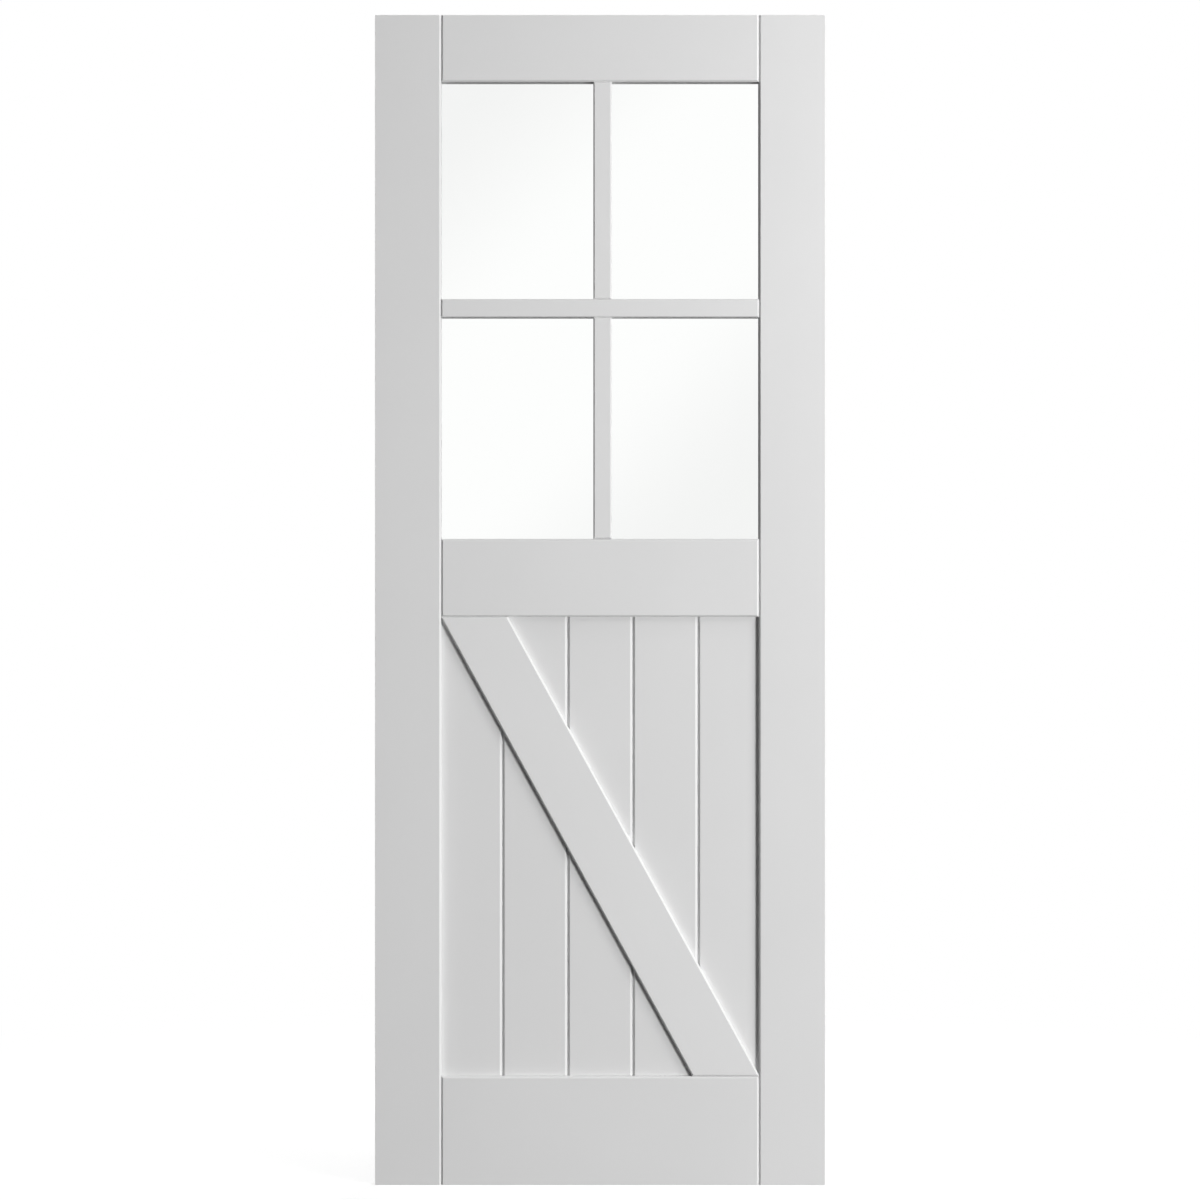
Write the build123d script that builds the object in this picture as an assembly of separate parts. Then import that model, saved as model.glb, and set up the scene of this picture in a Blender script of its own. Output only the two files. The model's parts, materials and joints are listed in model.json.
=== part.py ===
from build123d import *
import math
import os

# Half-glazed barn door leaf, in millimetres.
# The origin is the middle of the top edge, from which the leaf hangs.
# +X points right as the front is seen, +Y to the back and +Z up.

# Leaf
door_width = 762.0
door_height = 1981.0
door_thickness = 35.0

# Frame members
stile_width = 112.0
top_rail_height = 113.0
middle_rail_height = 132.0
bottom_rail_height = 184.0
panel_height = 778.0
joint_bevel = 3.0

# Mortise and tenon joints of the rails
tenon_thickness = 12.0
tenon_length = 60.0
tenon_inset = 22.0
mortise_spare = 2.0

# Glazing bars, and how far they stand from the middle of the glazed opening
bar_width = 31.0
bar_bevel = 2.0
upright_bar_shift = 4.3
cross_bar_rise = 3.6
bar_tenon_length = 10.0
bar_tenon_share = 0.7  # of the web between two rebates
bar_mortise_spare = 1.0

# Glazing: each pane lies against the front lip of its rebate, with beads behind it
lip_depth = 14.0
rebate_width = 10.0
glass_thickness = 4.0
pane_edge_gap = 2.0
bead_set_back = 1.0
bead_bevel = 3.0

# Tongued and grooved boards, housed in a groove round the lower opening
board_count = 5
board_thickness = 14.0
board_bevel = 4.0
board_side_entry = 7.25
board_end_entry = 7.0
housing_spare = 1.0
housing_play = 0.15
tongue_length = 5.0
tongue_thickness = 3.0
tongue_play = 0.1
tongue_end_gap = 0.5

# Diagonal brace on each face of the boards
brace_width = 100.0
brace_set_back = 0.5
brace_bevel = 2.5
brace_corner_cut = 1.4  # taken off each pointed corner, along the rail

# Places worked out from the sizes above
half_width = door_width / 2
half_thickness = door_thickness / 2
opening_half = half_width - stile_width
glazed_top = -top_rail_height
panel_bottom = bottom_rail_height - door_height
panel_top = panel_bottom + panel_height
glazed_bottom = panel_top + middle_rail_height
cross_bar_z = (glazed_top + glazed_bottom) / 2 + cross_bar_rise
upright_bar_x = upright_bar_shift
glass_front = lip_depth - half_thickness
glass_back = glass_front + glass_thickness
bead_depth = half_thickness - bead_set_back - glass_back
bar_tenon_width = bar_tenon_share * (bar_width - 2 * rebate_width)
brace_thickness = half_thickness - brace_set_back - board_thickness / 2


def around(middle, width):
    """Span of a width centred on a place."""
    return (middle - width / 2, middle + width / 2)


def grown(span, margin):
    """Span made longer at both ends."""
    return (span[0] - margin, span[1] + margin)


opening_x = around(0, 2 * opening_half)
leaf_y = around(0, door_thickness)
tenon_y = around(0, tenon_thickness)
cross_bar_span = around(cross_bar_z, bar_width)
upright_bar_span = around(upright_bar_x, bar_width)
panel_z = (panel_bottom, panel_top)
rail_spans = {
    "top_rail": (glazed_top, 0),
    "middle_rail": (panel_top, glazed_bottom),
    "bottom_rail": (-door_height, panel_bottom),
}
upright_bar_lengths = {
    "upper_upright_bar": (cross_bar_span[1], glazed_top),
    "lower_upright_bar": (glazed_bottom, cross_bar_span[0]),
}
light_columns = {"left": (opening_x[0], upright_bar_span[0]), "right": (upright_bar_span[1], opening_x[1])}
light_rows = {"upper": (cross_bar_span[1], glazed_top), "lower": (glazed_bottom, cross_bar_span[0])}
lights = {
    f"{row}_{column}": (light_columns[column], light_rows[row])
    for row in light_rows
    for column in light_columns
}

# Sides of an upright block, each as an axis and the end of it that the side is on
LEFT = (Axis.X, 0)
RIGHT = (Axis.X, -1)
BOTTOM = (Axis.Z, 0)
TOP = (Axis.Z, -1)


def block(x_span, y_span, z_span):
    """Rectangular solid that fills three spans."""
    spans = (x_span, y_span, z_span)
    middle = [(low + high) / 2 for low, high in spans]
    size = [high - low for low, high in spans]
    return Pos(*middle) * Box(*size)


def bevelled(stock, sides, bevel):
    """Block with the front and back arrises of the given sides planed off at 45 degrees."""
    arrises = ShapeList()
    for axis, end in sides:
        arrises += stock.edges().group_by(axis)[end].filter_by(Axis.Y, reverse=True)
    return chamfer(arrises, bevel)


def both_ways(low, high):
    """A span on the right of the leaf and its mirror image on the left."""
    return [(low, high), (-high, -low)]


# Glass rebates and board housing, cut into every member that they pass through

def glass_rebates():
    """One rebate a light, open to the back, reaching behind the lip all round."""
    y_span = (glass_front, door_thickness)
    return [
        block(grown(x_span, rebate_width), y_span, grown(z_span, rebate_width))
        for x_span, z_span in lights.values()
    ]


def board_housing():
    """Groove round the lower opening that takes the edges of the boards."""
    return block(
        grown(opening_x, board_side_entry + housing_spare),
        grown(around(0, board_thickness), housing_play),
        grown(panel_z, board_end_entry + housing_spare),
    )


housings = [*glass_rebates(), board_housing()]


def housed(member):
    """Member with the rebates and the board housing cut into it."""
    for housing in housings:
        member -= housing
    return member


# Frame

def rail_tenons(z_span, spare=0.0):
    """Tenon at both ends of a rail, or the mortise for it when it is given spare length."""
    tenon_z = grown(z_span, -tenon_inset)
    ends = both_ways(opening_half, opening_half + tenon_length + spare)
    return [block(x_span, tenon_y, tenon_z) for x_span in ends]


def cross_bar_tenons(spare=0.0):
    """Stub tenon at both ends of the cross bar, or its mortise."""
    tenon_z = around(cross_bar_z, bar_tenon_width)
    ends = both_ways(opening_half, opening_half + bar_tenon_length + spare)
    return [block(x_span, tenon_y, tenon_z) for x_span in ends]


def upright_bar_tenons(z_span, spare=0.0):
    """Stub tenon at both ends of an upright bar, or its mortise."""
    tenon_x = around(upright_bar_x, bar_tenon_width)
    reach = bar_tenon_length + spare
    ends = [(z_span[0] - reach, z_span[0]), (z_span[1], z_span[1] + reach)]
    return [block(tenon_x, tenon_y, tenon_z) for tenon_z in ends]


def upright_bar_mortises():
    """Mortises for both upright bars."""
    return [
        mortise
        for z_span in upright_bar_lengths.values()
        for mortise in upright_bar_tenons(z_span, bar_mortise_spare)
    ]


def stile(x_span, inner_side):
    """Full-height stile, bevelled along its inner edge and mortised for rails and cross bar."""
    member = bevelled(block(x_span, leaf_y, (-door_height, 0)), [inner_side], joint_bevel)
    for z_span in rail_spans.values():
        for mortise in rail_tenons(z_span, mortise_spare):
            member -= mortise
    for mortise in cross_bar_tenons(bar_mortise_spare):
        member -= mortise
    return housed(member)


def rail(z_span, open_sides):
    """Rail between the stiles, bevelled at its ends and along the openings, with its tenons."""
    stock = block(opening_x, leaf_y, z_span)
    member = bevelled(stock, [LEFT, RIGHT, *open_sides], joint_bevel)
    for mortise in upright_bar_mortises():
        member -= mortise
    member = housed(member)
    for tenon in rail_tenons(z_span):
        member += tenon
    return member


def make_frame():
    """Stiles and rails."""
    right_stile_x, left_stile_x = both_ways(opening_half, half_width)
    return {
        "left_stile": stile(left_stile_x, RIGHT),
        "right_stile": stile(right_stile_x, LEFT),
        "top_rail": rail(rail_spans["top_rail"], [BOTTOM]),
        "middle_rail": rail(rail_spans["middle_rail"], [BOTTOM, TOP]),
        "bottom_rail": rail(rail_spans["bottom_rail"], [TOP]),
    }


# Glazing

def make_bars():
    """Cross bar from stile to stile, and the two upright bars that it parts."""
    all_sides = [LEFT, RIGHT, BOTTOM, TOP]
    cross_bar = bevelled(block(opening_x, leaf_y, cross_bar_span), all_sides, bar_bevel)
    for mortise in upright_bar_mortises():
        cross_bar -= mortise
    cross_bar = housed(cross_bar)
    for tenon in cross_bar_tenons():
        cross_bar += tenon
    bars = {"cross_bar": cross_bar}
    for name, z_span in upright_bar_lengths.items():
        bar = housed(bevelled(block(upright_bar_span, leaf_y, z_span), all_sides, bar_bevel))
        for tenon in upright_bar_tenons(z_span):
            bar += tenon
        bars[name] = bar
    return bars


def make_panes():
    """One sheet of glass a light, short of its rebate by the edge gap."""
    cover = rebate_width - pane_edge_gap
    return {
        f"pane_{name}": block(grown(x_span, cover), (glass_front, glass_back), grown(z_span, cover))
        for name, (x_span, z_span) in lights.items()
    }


def bead(outer, inner):
    """Mitred bead between two outer and two inner corners, bevelled along its sight edge."""
    corners = [*outer, *reversed(inner)]
    outline = Polyline([(x, glass_back, z) for x, z in corners], close=True)
    stock = extrude(make_face(outline), amount=bead_depth, dir=(0, 1, 0))
    (first_x, first_z), (second_x, second_z) = inner
    sight_middle = ((first_x + second_x) / 2, glass_back + bead_depth, (first_z + second_z) / 2)
    return chamfer(stock.edges().sort_by_distance(sight_middle)[0], bead_bevel)


def make_beads():
    """Four mitred beads behind each pane."""
    beads = {}
    for name, (x_span, z_span) in lights.items():
        (left, right), (low, high) = x_span, z_span
        sight = [(left, low), (right, low), (right, high), (left, high)]
        (left, right), (low, high) = grown(x_span, rebate_width), grown(z_span, rebate_width)
        wall = [(left, low), (right, low), (right, high), (left, high)]
        for index, side in enumerate(("bottom", "right", "top", "left")):
            ends = (index, (index + 1) % len(sight))
            beads[f"bead_{name}_{side}"] = bead([wall[end] for end in ends], [sight[end] for end in ends])
    return beads


# Lower panel

def board(index, cover_width):
    """One board: a groove on its left edge and a tongue on its right, but none at the stiles."""
    left = opening_x[0] - board_side_entry + index * cover_width
    right = left + cover_width
    length = grown(panel_z, board_end_entry)
    grooved = index > 0
    tongued = index < board_count - 1
    piece = block((left, right), around(0, board_thickness), length)
    joined_sides = [side for side, joined in ((LEFT, grooved), (RIGHT, tongued)) if joined]
    if joined_sides:
        piece = bevelled(piece, joined_sides, board_bevel)
    if grooved:
        slot_y = grown(around(0, tongue_thickness), tongue_play)
        piece -= block((left, left + tongue_length + tongue_end_gap), slot_y, length)
    if tongued:
        piece += block((right, right + tongue_length), around(0, tongue_thickness), length)
    return piece


def make_boards():
    """Boards of equal cover width, filling the housing from stile to stile."""
    cover_width = (2 * opening_half + 2 * board_side_entry) / board_count
    return {f"board_{index + 1}": board(index, cover_width) for index in range(board_count)}


def brace_cut_length(span):
    """Length of the brace's level end cuts, for a brace of the given width that reaches over a span."""
    rise, width = panel_height, brace_width
    root = math.sqrt((width * span) ** 2 + (rise**2 - width**2) * (rise**2 + span**2))
    return width * (root - width * span) / (rise**2 - width**2)


def make_braces():
    """Brace from the upper left to the lower right corner, on the front and back of the boards."""
    left, right = grown(opening_x, brace_corner_cut)
    cut = brace_cut_length(right - left)
    seat = -board_thickness / 2
    corners = [(left, panel_top), (left + cut, panel_top), (right, panel_bottom), (right - cut, panel_bottom)]
    outline = Polyline([(x, seat, z) for x, z in corners], close=True)
    stock = extrude(make_face(outline), amount=brace_thickness, dir=(0, -1, 0))
    stock = chamfer(stock.faces().sort_by(Axis.Y)[0].edges(), brace_bevel)
    front_brace = stock & block(opening_x, leaf_y, panel_z)
    return {"front_brace": front_brace, "back_brace": mirror(front_brace, about=Plane.XZ)}


def make_door():
    """Every piece of the leaf by name."""
    return {**make_frame(), **make_bars(), **make_panes(), **make_beads(), **make_boards(), **make_braces()}


os.makedirs("parts", exist_ok=True)
for node, piece in make_door().items():
    export_step(piece, f"parts/{node}.step")
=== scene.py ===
# %% [markdown]
# # A half-glazed barn door
# The door is a factory-primed leaf: a jointed timber frame with four panes above and a boarded, braced
# panel below. Its solids come from CAD, already in place and at real size, in metres. What is left for
# Blender is what the eye reads as "a painted door": eased arrises, the skin of the primer, clear glass,
# and a quiet studio. Each cell does one small step and prints what it made.

# %% Load the CAD frame
import json
import math

import bmesh
import bpy
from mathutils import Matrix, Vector


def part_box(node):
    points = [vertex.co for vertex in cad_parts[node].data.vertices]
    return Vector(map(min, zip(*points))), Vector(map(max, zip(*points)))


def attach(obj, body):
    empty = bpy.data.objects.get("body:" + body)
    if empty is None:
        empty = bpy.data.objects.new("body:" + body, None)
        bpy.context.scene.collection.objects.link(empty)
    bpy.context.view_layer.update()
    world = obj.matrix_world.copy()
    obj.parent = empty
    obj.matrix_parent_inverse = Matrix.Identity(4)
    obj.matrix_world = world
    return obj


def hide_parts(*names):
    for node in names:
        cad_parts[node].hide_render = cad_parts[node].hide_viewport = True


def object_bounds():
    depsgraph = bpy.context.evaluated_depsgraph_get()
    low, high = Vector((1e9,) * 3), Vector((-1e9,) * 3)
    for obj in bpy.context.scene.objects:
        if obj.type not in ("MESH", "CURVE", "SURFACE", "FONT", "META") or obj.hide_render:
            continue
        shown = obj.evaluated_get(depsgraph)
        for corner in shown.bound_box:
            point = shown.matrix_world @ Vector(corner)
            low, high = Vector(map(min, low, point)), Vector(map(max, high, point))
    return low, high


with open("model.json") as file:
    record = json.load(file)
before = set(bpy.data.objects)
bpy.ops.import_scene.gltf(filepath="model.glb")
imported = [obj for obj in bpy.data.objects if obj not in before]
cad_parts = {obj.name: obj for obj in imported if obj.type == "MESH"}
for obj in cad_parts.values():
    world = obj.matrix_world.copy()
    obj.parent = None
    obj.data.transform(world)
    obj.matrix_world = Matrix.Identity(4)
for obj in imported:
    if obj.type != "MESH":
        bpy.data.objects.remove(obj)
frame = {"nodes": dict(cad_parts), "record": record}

MM = 0.001
cad_low, cad_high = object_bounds()
leaf_size = cad_high - cad_low
leaf_middle = (cad_low + cad_high) / 2
print("leaf in mm:", [round(side / MM) for side in leaf_size])

# %% [markdown]
# ## Small helpers
# Paint and glass are usually quoted as sRGB hex colours, but shaders work in linear light, so one function
# converts them. Node trees are easier to read when a node, its settings and its links are made in one go,
# so a second function does that for shaders and for Geometry Nodes alike. A third starts an empty material.

# %% Helpers for colours and nodes
def linear(hex_colour):
    """sRGB hex colour as linear red, green, blue and alpha."""
    shares = [int(hex_colour[start:start + 2], 16) / 255 for start in (1, 3, 5)]
    return [s / 12.92 if s <= 0.04045 else ((s + 0.055) / 1.055) ** 2.4 for s in shares] + [1.0]


def add_node(tree, kind, settings=None, links=None):
    """New node with its settings, and with each input set to a value or linked to another node's output."""
    node = tree.nodes.new(kind)
    for name, value in (settings or {}).items():
        setattr(node, name, value)
    for socket, value in (links or {}).items():
        if isinstance(value, bpy.types.NodeSocket):
            tree.links.new(value, node.inputs[socket])
        else:
            node.inputs[socket].default_value = value
    return node


def new_material(name):
    """Empty material with its node tree and its output node."""
    material = bpy.data.materials.new(name)
    material.use_nodes = True
    material.node_tree.nodes.clear()
    return material, material.node_tree, add_node(material.node_tree, "ShaderNodeOutputMaterial")


print("white primer in linear light:", [round(value, 3) for value in linear("#DEDEDE")[:3]])

# %% [markdown]
# ## White primer, sprayed in the factory
# The leaf is coated with a matt, water-based primer. Spraying leaves a very fine orange peel, a pitch of two
# or three millimetres and a few hundredths high, and the sheen drifts a little from one pass of the gun to
# the next. Both could be painted as images, but noise on object coordinates has no seams and no resolution.
# The peel is bump, because it is far too shallow to change the outline. The braces are a shade lighter than
# the rest, so the colours between which the coat drifts are given to the function.

# %% White sprayed primer
def white_sprayed_primer(name, darkest, lightest):
    """Matt primer: the eye sees an even near-white, a soft sheen and, up close, the orange peel."""
    material, tree, output = new_material(name)
    peel_pitch = 2.5 * MM
    peel_height = 0.03 * MM
    pass_width = 220 * MM
    smoothest = 0.64
    roughest = 0.74
    place = add_node(tree, "ShaderNodeTexCoord").outputs["Object"]
    peel = add_node(tree, "ShaderNodeTexNoise", {}, {
        "Vector": place, "Scale": 1 / peel_pitch, "Detail": 2.0, "Roughness": 0.5})
    drift = add_node(tree, "ShaderNodeTexNoise", {}, {
        "Vector": place, "Scale": 1 / pass_width, "Detail": 3.0, "Roughness": 0.5})
    colour = add_node(tree, "ShaderNodeMix", {"data_type": "RGBA"}, {
        "Factor": drift.outputs["Fac"], "A": linear(darkest), "B": linear(lightest)})
    sheen = add_node(tree, "ShaderNodeMapRange", {}, {
        "Value": drift.outputs["Fac"], "To Min": smoothest, "To Max": roughest})
    bump = add_node(tree, "ShaderNodeBump", {}, {
        "Height": peel.outputs["Fac"], "Distance": peel_height, "Strength": 1.0})
    paint = add_node(tree, "ShaderNodeBsdfPrincipled", {}, {
        "Base Color": colour.outputs["Result"], "Roughness": sheen.outputs["Result"],
        "IOR": 1.5, "Specular IOR Level": 0.3, "Normal": bump.outputs["Normal"]})
    tree.links.new(paint.outputs["BSDF"], output.inputs["Surface"])
    return material


primer = white_sprayed_primer("white_sprayed_primer", "#DCDCDC", "#E0E0E0")
brace_primer = white_sprayed_primer("lighter_sprayed_primer", "#DFDFDF", "#E3E3E3")
print("materials:", primer.name, brace_primer.name)

# %% [markdown]
# ## Clear float glass
# Float glass is flat and all but colourless from the front, with a trace of green in its thickness. Its look
# is nearly all reflection and what lies behind it, so a plain Principled shader with full transmission and
# glass's own index of refraction is enough.

# %% Clear float glass
def clear_float_glass():
    """Window glass: the eye sees what is behind it and a faint sheen from the room in front."""
    material, tree, output = new_material("clear_float_glass")
    glass = add_node(tree, "ShaderNodeBsdfPrincipled", {}, {
        "Base Color": linear("#FDFEFD"), "Roughness": 0.0, "IOR": 1.52, "Transmission Weight": 1.0})
    tree.links.new(glass.outputs["BSDF"], output.inputs["Surface"])
    return material


glass = clear_float_glass()
print("material:", glass.name)

# %% [markdown]
# ## Eased arrises on every timber piece
# No painted edge is razor sharp: the joiner rubs the arris down so that the paint holds, and the film rounds
# it a little more. Light gathers on that narrow round, and it is what parts one piece from the next. A CAD
# mesh is loose triangles, so each piece is copied, its doubles merged and its coplanar triangles joined into
# whole faces. Then a Bevel modifier rounds every edge sharper than the limit. A Weighted Normal modifier
# lets the wide faces set the shading, so that they stay flat and only the narrow round turns.

# %% Timber pieces
ARRIS_RADIUS = 0.5 * MM
ARRIS_SEGMENTS = 3
SHARP_ANGLE = math.radians(30)
SAME_PLANE = math.radians(0.5)
WELD = 0.002 * MM
WIDEST_FACE_ONLY = 100


def whole_faces(node):
    """New mesh with a CAD node's shape, its loose triangles joined into whole faces."""
    shape = bmesh.new()
    shape.from_mesh(frame["nodes"][node].data)
    bmesh.ops.remove_doubles(shape, verts=shape.verts, dist=WELD)
    bmesh.ops.dissolve_limit(shape, angle_limit=SAME_PLANE, verts=shape.verts, edges=shape.edges)
    mesh = bpy.data.meshes.new(f"primed_{node}")
    for face in shape.faces:
        face.smooth = True
    shape.to_mesh(mesh)
    shape.free()
    return mesh


def primed_piece(node):
    """Finished timber piece that stands for a CAD node."""
    piece = bpy.data.objects.new(f"primed_{node}", whole_faces(node))
    bpy.context.scene.collection.objects.link(piece)
    piece.data.materials.append(brace_primer if node.endswith("_brace") else primer)
    arris = piece.modifiers.new("eased_arris", "BEVEL")
    arris.width = ARRIS_RADIUS
    arris.segments = ARRIS_SEGMENTS
    arris.limit_method = "ANGLE"
    arris.angle_limit = SHARP_ANGLE
    shading = piece.modifiers.new("flat_wide_faces", "WEIGHTED_NORMAL")
    shading.weight = WIDEST_FACE_ONLY
    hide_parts(node)
    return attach(piece, "root")


slots = {part["node"]: part["material_slot"] for part in frame["record"]["subparts"]}
timber = [primed_piece(node) for node, slot in slots.items() if slot == "white_primer"]
print("timber pieces:", len(timber))

# %% [markdown]
# ## The four panes
# A pane is already the right shape: a flat sheet with square edges that are hidden in the rebates. So the
# CAD node itself stays and only gets the glass. Lamps shine straight through a window, and sampling that as
# refraction is slow and noisy, so the panes cast no shadow.

# %% Panes
panes = [frame["nodes"][node] for node, slot in slots.items() if slot == "clear_glass"]
for pane in panes:
    pane.data.materials.clear()
    pane.data.materials.append(glass)
    pane.visible_shadow = False
print("panes:", [pane.name for pane in panes])

# %% [markdown]
# ## Pins in the glazing beads
# On the back, four mitred beads hold each pane. The joiner fixes them with thin pins, a hand's width apart,
# punches the heads in and fills the holes, and under the primer each one is left as a faint round swelling.
# Some fifty swellings could be modelled and placed one at a time, but they only follow the beads. So each
# bead gives one edge, and Geometry Nodes turn the edges into curves, space points along them and set a flat
# round swelling on each point, half of it sunk in the wood.

# %% One line of pins on each bead
PIN_FROM_MITRE = 25 * MM
PIN_FROM_WALL = 0.35


def pin_line(node):
    """Two ends of the pins' line on a bead's back, nearer to the rebate's wall than to the glass."""
    low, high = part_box(node)
    side = node.split("_")[-1]
    share = PIN_FROM_WALL if side in ("bottom", "left") else 1 - PIN_FROM_WALL
    x = low.x + share * (high.x - low.x)
    z = low.z + share * (high.z - low.z)
    if side in ("bottom", "top"):
        return [(low.x + PIN_FROM_MITRE, high.y, z), (high.x - PIN_FROM_MITRE, high.y, z)]
    return [(x, high.y, low.z + PIN_FROM_MITRE), (x, high.y, high.z - PIN_FROM_MITRE)]


beads = [node for node in slots if node.startswith("bead_")]
pin_ends = [end for node in beads for end in pin_line(node)]
pin_edges = [(start, start + 1) for start in range(0, len(pin_ends), 2)]
print("lines of pins:", len(pin_edges))

# %% Node tree for the pins
def pin_tree():
    """Geometry Nodes that set swellings along edges, with their sizes as named inputs."""
    tree = bpy.data.node_groups.new("pins_along_beads", "GeometryNodeTree")
    tree.interface.new_socket("Lines", in_out="INPUT", socket_type="NodeSocketGeometry")
    for name in ("Spacing", "Radius", "Height"):
        tree.interface.new_socket(name, in_out="INPUT", socket_type="NodeSocketFloat")
    tree.interface.new_socket("Finish", in_out="INPUT", socket_type="NodeSocketMaterial")
    tree.interface.new_socket("Pins", in_out="OUTPUT", socket_type="NodeSocketGeometry")
    given = add_node(tree, "NodeGroupInput").outputs
    curve = add_node(tree, "GeometryNodeMeshToCurve", {}, {"Mesh": given["Lines"]})
    places = add_node(tree, "GeometryNodeResampleCurve", {"mode": "LENGTH"}, {
        "Curve": curve.outputs["Curve"], "Length": given["Spacing"]})
    ball = add_node(tree, "GeometryNodeMeshUVSphere", {}, {"Segments": 16, "Rings": 8, "Radius": 1.0})
    size = add_node(tree, "ShaderNodeCombineXYZ", {}, {
        "X": given["Radius"], "Y": given["Height"], "Z": given["Radius"]})
    swelling = add_node(tree, "GeometryNodeTransform", {}, {
        "Geometry": ball.outputs["Mesh"], "Scale": size.outputs["Vector"]})
    smooth = add_node(tree, "GeometryNodeSetShadeSmooth", {}, {"Geometry": swelling.outputs["Geometry"]})
    pins = add_node(tree, "GeometryNodeInstanceOnPoints", {}, {
        "Points": places.outputs["Curve"], "Instance": smooth.outputs["Geometry"]})
    real = add_node(tree, "GeometryNodeRealizeInstances", {}, {"Geometry": pins.outputs["Instances"]})
    primed = add_node(tree, "GeometryNodeSetMaterial", {}, {
        "Geometry": real.outputs["Geometry"], "Material": given["Finish"]})
    add_node(tree, "NodeGroupOutput", {}, {"Pins": primed.outputs["Geometry"]})
    return tree


tree = pin_tree()
print("node tree:", tree.name, "with", len(tree.nodes), "nodes")

# %% Stopped pins
def stopped_pins(name, sizes):
    """Plain mesh of all the pins, made by the node tree with the given sizes."""
    lines = bpy.data.meshes.new(name)
    lines.from_pydata(pin_ends, pin_edges, [])
    piece = bpy.data.objects.new(name, lines)
    bpy.context.scene.collection.objects.link(piece)
    nodes = piece.modifiers.new("pins_along_beads", "NODES")
    nodes.node_group = tree
    for socket in tree.interface.items_tree:
        if socket.name in sizes:
            nodes[socket.identifier] = sizes[socket.name]
    evaluated = piece.evaluated_get(bpy.context.evaluated_depsgraph_get())
    piece.data = bpy.data.meshes.new_from_object(evaluated)
    piece.modifiers.remove(nodes)
    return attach(piece, "root")


pin_sizes = {"Spacing": 110 * MM, "Radius": 1.5 * MM, "Height": 0.25 * MM, "Finish": primer}
pins = stopped_pins("stopped_pins", pin_sizes)
print("pins:", len(pins.data.polygons), "faces")

# %% [markdown]
# ## A white studio
# The camera should see white all round the door, straight and through the glass. But a white room that also
# lit the door would wash out its joints, and glass in front of an even white room can't be told from no
# glass. The Light Path node tells the rays apart, so that one room can look different to each kind. Rays
# from the camera see white until something scatters or mirrors them. Mirrored rays see less, and the light
# that the room throws on the door is dim.

# %% Kinds of rays
def straight_rays(tree):
    """One for rays that the viewer follows from the camera or on through glass, with no bounce before."""
    path = add_node(tree, "ShaderNodeLightPath")
    viewed = add_node(tree, "ShaderNodeMath", {"operation": "MAXIMUM"}, {
        0: path.outputs["Is Camera Ray"], 1: path.outputs["Is Transmission Ray"]})
    bounces = add_node(tree, "ShaderNodeMath", {"operation": "ADD"}, {
        0: path.outputs["Diffuse Depth"], 1: path.outputs["Glossy Depth"]})
    straight = add_node(tree, "ShaderNodeMath", {"operation": "SUBTRACT", "use_clamp": True}, {
        0: viewed.outputs[0], 1: bounces.outputs[0]})
    return straight.outputs[0]


def mirrored_rays(tree):
    """One for unscattered mirrored rays. A ray through glass is glossy, but adds no glossy depth."""
    path = add_node(tree, "ShaderNodeLightPath")
    glossy = add_node(tree, "ShaderNodeMath", {"operation": "MINIMUM"}, {
        0: path.outputs["Is Glossy Ray"], 1: path.outputs["Glossy Depth"]})
    mirrored = add_node(tree, "ShaderNodeMath", {"operation": "SUBTRACT", "use_clamp": True}, {
        0: glossy.outputs[0], 1: path.outputs["Diffuse Depth"]})
    return mirrored.outputs[0]


print("kinds of rays:", [kind.__name__ for kind in (straight_rays, mirrored_rays)])

# %% [markdown]
# ## The room
# Panes mirror the studio, and in this one a white screen slants across the room and fades out on both sides,
# so that a faint sheen runs over the glass. The screen could be a card or a lamp, but in the world a few
# nodes draw it, it stays out of the picture, and it throws no light on the matt paint.

# %% White room with a slanted screen
AMBIENT = 0.02
SCREEN_RISE = 0.084
SCREEN_WHITE = 0.024
SCREEN_FADED = 0.094


def slanted_screen(tree):
    """One on a band of the room that rises to the right, fading to nothing on both sides of it."""
    way = add_node(tree, "ShaderNodeSeparateXYZ", {}, {
        "Vector": add_node(tree, "ShaderNodeTexCoord").outputs["Generated"]})
    slant = add_node(tree, "ShaderNodeMath", {"operation": "SUBTRACT"}, {
        0: way.outputs["Z"], 1: way.outputs["X"]})
    offset = add_node(tree, "ShaderNodeMath", {"operation": "SUBTRACT"}, {
        0: slant.outputs[0], 1: SCREEN_RISE})
    distance = add_node(tree, "ShaderNodeMath", {"operation": "ABSOLUTE"}, {0: offset.outputs[0]})
    fade = add_node(tree, "ShaderNodeMapRange", {"interpolation_type": "SMOOTHSTEP"}, {
        "Value": distance.outputs[0], "From Min": SCREEN_WHITE, "From Max": SCREEN_FADED,
        "To Min": 1.0, "To Max": 0.0})
    return fade.outputs["Result"]


def white_room():
    """World that looks white, mirrors a slanted screen and lights the door as a dim, even room."""
    world = bpy.data.worlds.new("white_room")
    world.use_nodes = True
    tree = world.node_tree
    tree.nodes.clear()
    dim = add_node(tree, "ShaderNodeBackground", {}, {"Color": linear("#FFFFFF"), "Strength": AMBIENT})
    white = add_node(tree, "ShaderNodeBackground", {}, {"Color": linear("#FFFFFF"), "Strength": 1.0})
    screen = add_node(tree, "ShaderNodeBackground", {}, {
        "Color": linear("#FFFFFF"), "Strength": slanted_screen(tree)})
    unmirrored = add_node(tree, "ShaderNodeMixShader", {}, {
        0: straight_rays(tree), 1: dim.outputs[0], 2: white.outputs[0]})
    room = add_node(tree, "ShaderNodeMixShader", {}, {
        0: mirrored_rays(tree), 1: unmirrored.outputs[0], 2: screen.outputs[0]})
    add_node(tree, "ShaderNodeOutputWorld", {}, {"Surface": room.outputs[0]})
    bpy.context.scene.world = world
    return world


room = white_room()
print("world:", room.name)

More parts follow.
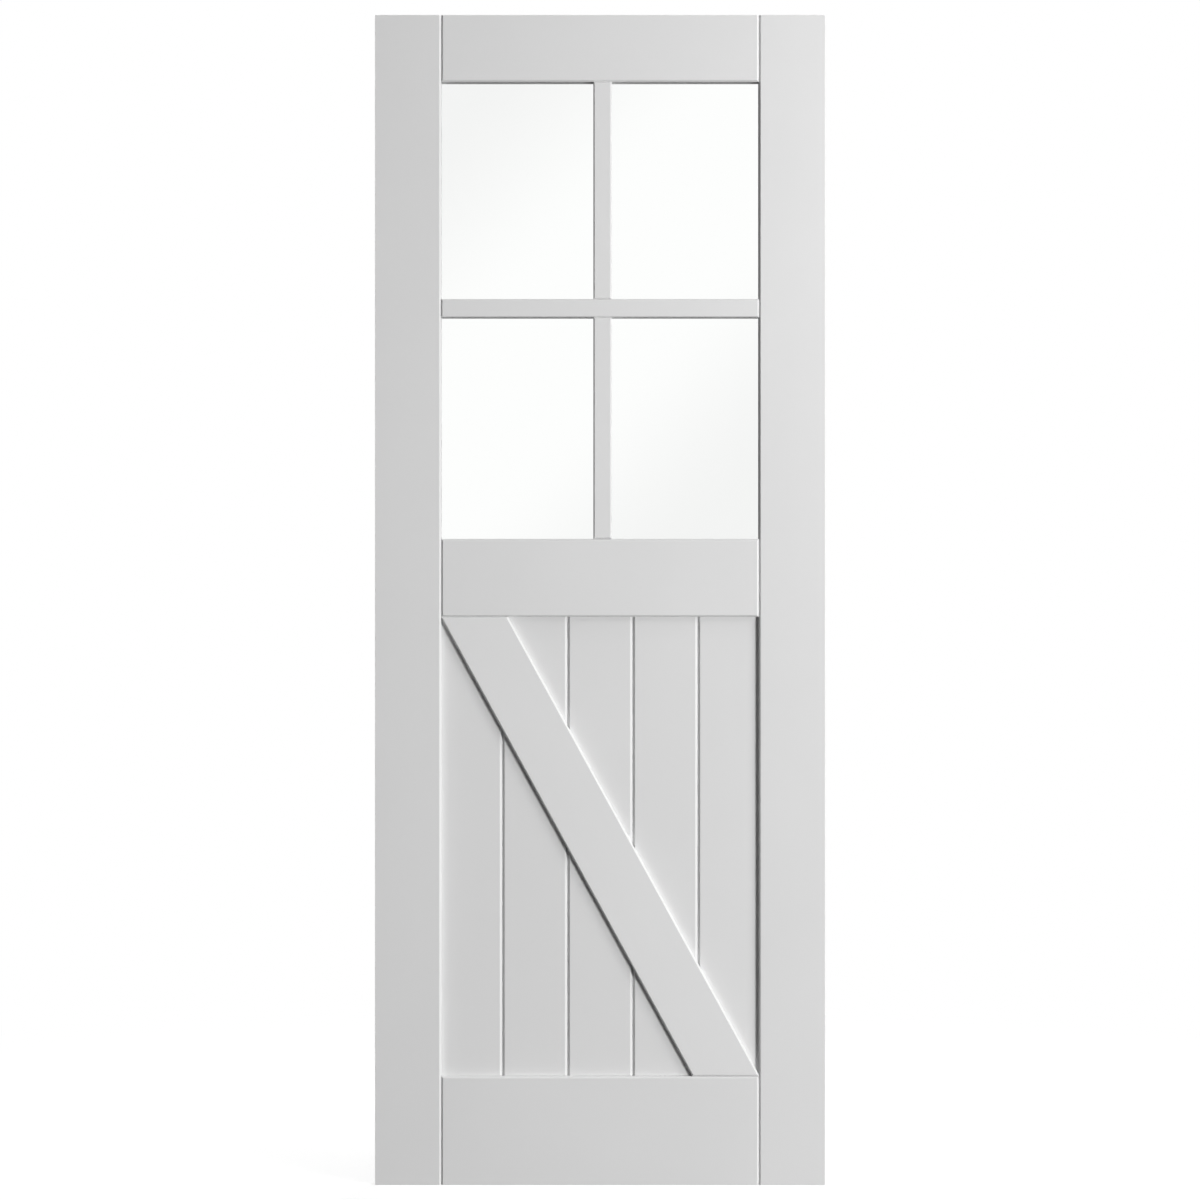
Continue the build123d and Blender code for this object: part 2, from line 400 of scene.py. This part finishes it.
# %% [markdown]
# ## The floor
# The leaf stands on a pale floor that runs out of sight. Near the door, a glow of its own brings the floor
# up to white and leaves the door's shadow on it, and further off it turns plain white. Mirrored in the panes
# it is dim. To the light that it throws back on the door it is a mid grey, because a white floor would light
# up the undersides of the rails.

# %% Pale floor
FLOOR_HALF = 40.0
FLOOR_SEEN = "#C8C8C8"
FLOOR_BOUNCE = "#6C6C6C"
FLOOR_GLOW = 0.59
FLOOR_CLEAR = 2.5
FLOOR_MIRRORED = 0.3


def pale_floor_paint():
    """Floor's finish: to the camera white with the door's shadow on it, and to other rays dimmer."""
    material, tree, output = new_material("pale_studio_floor")
    seen = straight_rays(tree)
    colour = add_node(tree, "ShaderNodeMix", {"data_type": "RGBA"}, {
        "Factor": seen, "A": linear(FLOOR_BOUNCE), "B": linear(FLOOR_SEEN)})
    paper = add_node(tree, "ShaderNodeBsdfDiffuse", {}, {"Color": colour.outputs["Result"]})
    mirrored = add_node(tree, "ShaderNodeMath", {"operation": "MULTIPLY"}, {
        0: mirrored_rays(tree), 1: FLOOR_MIRRORED})
    strength = add_node(tree, "ShaderNodeMath", {"operation": "MULTIPLY_ADD"}, {
        0: seen, 1: FLOOR_GLOW, 2: mirrored.outputs[0]})
    glow = add_node(tree, "ShaderNodeEmission", {}, {
        "Color": linear("#FFFFFF"), "Strength": strength.outputs[0]})
    near = add_node(tree, "ShaderNodeAddShader", {}, {0: paper.outputs[0], 1: glow.outputs[0]})
    away = add_node(tree, "ShaderNodeVectorMath", {"operation": "LENGTH"}, {
        0: add_node(tree, "ShaderNodeTexCoord").outputs["Object"]})
    cleared = add_node(tree, "ShaderNodeMapRange", {"interpolation_type": "SMOOTHSTEP"}, {
        "Value": away.outputs["Value"], "From Max": FLOOR_CLEAR, "To Max": seen})
    white = add_node(tree, "ShaderNodeEmission", {}, {"Color": linear("#FFFFFF"), "Strength": 1.0})
    both = add_node(tree, "ShaderNodeMixShader", {}, {
        0: cleared.outputs["Result"], 1: near.outputs[0], 2: white.outputs[0]})
    tree.links.new(both.outputs[0], output.inputs["Surface"])
    return material


def pale_floor():
    """Wide square of floor under the leaf."""
    mesh = bpy.data.meshes.new("floor")
    corners = [(-1, -1), (1, -1), (1, 1), (-1, 1)]
    mesh.from_pydata([(x * FLOOR_HALF, y * FLOOR_HALF, 0) for x, y in corners], [], [(0, 1, 2, 3)])
    floor = bpy.data.objects.new("floor", mesh)
    bpy.context.scene.collection.objects.link(floor)
    floor.location.z = cad_low.z
    floor.data.materials.append(pale_floor_paint())
    return floor


floor = pale_floor()
print("floor level in mm:", round(floor.location.z / MM))

# %% [markdown]
# ## Soft boxes
# A door like this is lit with soft boxes, large even lamps whose shadows soften with their size. Each stands
# in a given direction from the middle of the leaf. Its power is worked out from the level that it gives on a
# surface facing it, where a level of one shows a colour as it is written. Lamps would show through the
# glass, as bright squares in it and as a glare on paint seen edge-on, so only matt light is taken from them.

# %% Helpers for lamps
def way_to(azimuth, elevation):
    """Direction from the leaf to a lamp, with azimuth 0 in front and 90 to the right."""
    turn, rise = math.radians(azimuth), math.radians(elevation)
    return Vector((math.sin(turn) * math.cos(rise), -math.cos(turn) * math.cos(rise), math.sin(rise)))


def aimed(name, lamp, way, distance):
    """Lamp's object at a distance from the middle of the leaf and facing it."""
    holder = bpy.data.objects.new(name, lamp)
    bpy.context.scene.collection.objects.link(holder)
    holder.visible_camera = False
    holder.visible_glossy = False
    holder.visible_transmission = False
    holder.location = leaf_middle + way * distance
    holder.rotation_euler = (-way).to_track_quat("-Z", "Y").to_euler()
    return holder


def soft_box(name, azimuth, elevation, distance, size, level):
    """Rectangular lamp, whose light softens with its size and falls off with its distance."""
    lamp = bpy.data.lights.new(name, "AREA")
    lamp.shape = "RECTANGLE"
    lamp.size, lamp.size_y = size
    # Straight in front of the box, white paint shows a level of power / (pi * distance) ** 2
    lamp.energy = level * (math.pi * distance) ** 2
    return aimed(name, lamp, way_to(azimuth, elevation), distance)


def skylight(name, azimuth, elevation, spread, level):
    """Far, even light from above, which doesn't fall off from the top of the leaf to its foot."""
    lamp = bpy.data.lights.new(name, "SUN")
    lamp.angle = math.radians(spread)
    lamp.energy = level * math.pi
    return aimed(name, lamp, way_to(azimuth, elevation), leaf_size.z)


print("way to a lamp on the right:", [round(share, 2) for share in way_to(90, 0)])

# %% [markdown]
# ## Where the lamps stand
# The light is what draws the joints of a white door, so it comes from the right. A large key box, level with
# the middle of the leaf, throws a crisp shadow beside the right stile and hardly any under the rails. A side
# box stands further off, further round and higher, and draws the shadows out into a soft tail. A small near
# box brightens the upper right corner, and a skylight from high in front picks out the bevels that face up.
# Two narrow boxes stand all but in the leaf's own plane, so they light little more than its left and top
# edges. A rear box stands behind the leaf, a little above it and to the same side, so that the back shows
# its relief and the sides of the glazed opening keep their shade.

# %% Lamps
lamps = [
    soft_box("key_box", azimuth=39, elevation=-2, distance=7.0, size=(1.9, 1.5), level=0.81),
    soft_box("side_box", azimuth=57, elevation=26, distance=9.0, size=(2.8, 2.8), level=0.25),
    soft_box("corner_box", azimuth=54, elevation=35, distance=1.6, size=(0.5, 0.5), level=0.10),
    soft_box("left_edge_box", azimuth=268, elevation=0, distance=9.0, size=(0.3, 1.9), level=0.75),
    soft_box("top_edge_box", azimuth=180, elevation=89, distance=1.5, size=(1.0, 0.1), level=0.05),
    soft_box("rear_box", azimuth=162, elevation=14, distance=9.0, size=(1.2, 1.6), level=0.87),
    skylight("skylight", azimuth=20, elevation=78, spread=30, level=0.28),
]
print("lamps in watts:", {lamp.name: round(lamp.data.energy, 1) for lamp in lamps})

# %% [markdown]
# ## Camera
# The picture is taken head-on from the middle of the leaf, through a long lens, so that uprights stay
# upright. The leaf's height fills a known share of the picture, and that share and the distance set the
# lens.

# %% Camera
PICTURE_PIXELS = 1200
LEAF_PIXELS = 1170.1
CAMERA_DISTANCE = 6.0
view_height = leaf_size.z * PICTURE_PIXELS / LEAF_PIXELS
camera_data = bpy.data.cameras.new("camera")
camera_data.sensor_width = 36.0
camera_data.lens = camera_data.sensor_width * CAMERA_DISTANCE / view_height
camera = bpy.data.objects.new("camera", camera_data)
bpy.context.scene.collection.objects.link(camera)
camera.location = (leaf_middle.x, cad_low.y - CAMERA_DISTANCE, leaf_middle.z)
camera.rotation_euler = (math.radians(90), 0, 0)
bpy.context.scene.camera = camera
bpy.context.scene.view_settings.view_transform = "Standard"
print("lens in mm:", round(camera_data.lens, 1))
